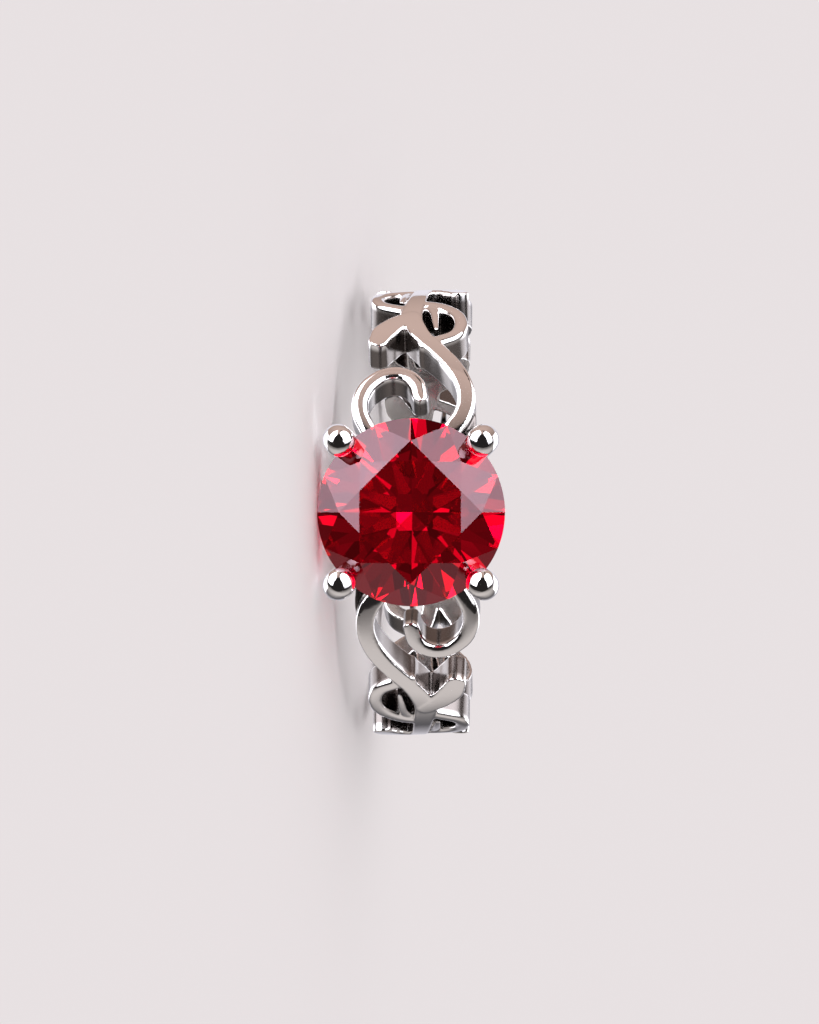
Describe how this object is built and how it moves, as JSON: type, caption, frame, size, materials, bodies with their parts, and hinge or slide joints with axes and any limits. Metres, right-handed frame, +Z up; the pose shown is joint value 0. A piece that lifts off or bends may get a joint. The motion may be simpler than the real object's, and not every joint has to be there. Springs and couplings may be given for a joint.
{
  "type": "ruby engagement ring",
  "caption": "Finger ring with a round faceted ruby held in claws, on a pierced band of S-shaped vine scrolls and leaves that is plain at the back.",
  "frame": {"origin": "on the surface the ring lies on, under the middle of its bounding box", "axes": "-Y towards the stone, +Y towards the back of the band, +Z up along the finger axis but for its lean of 4.9 degrees, +X across the ring"},
  "size_m": [0.0198, 0.0254, 0.008],
  "materials": {
    "metal": "polished white gold",
    "ruby": "polished round cut"
  },
  "bodies": {
    "root": {"setting": "metal", "ruby": "ruby"}
  },
  "joints": []
}
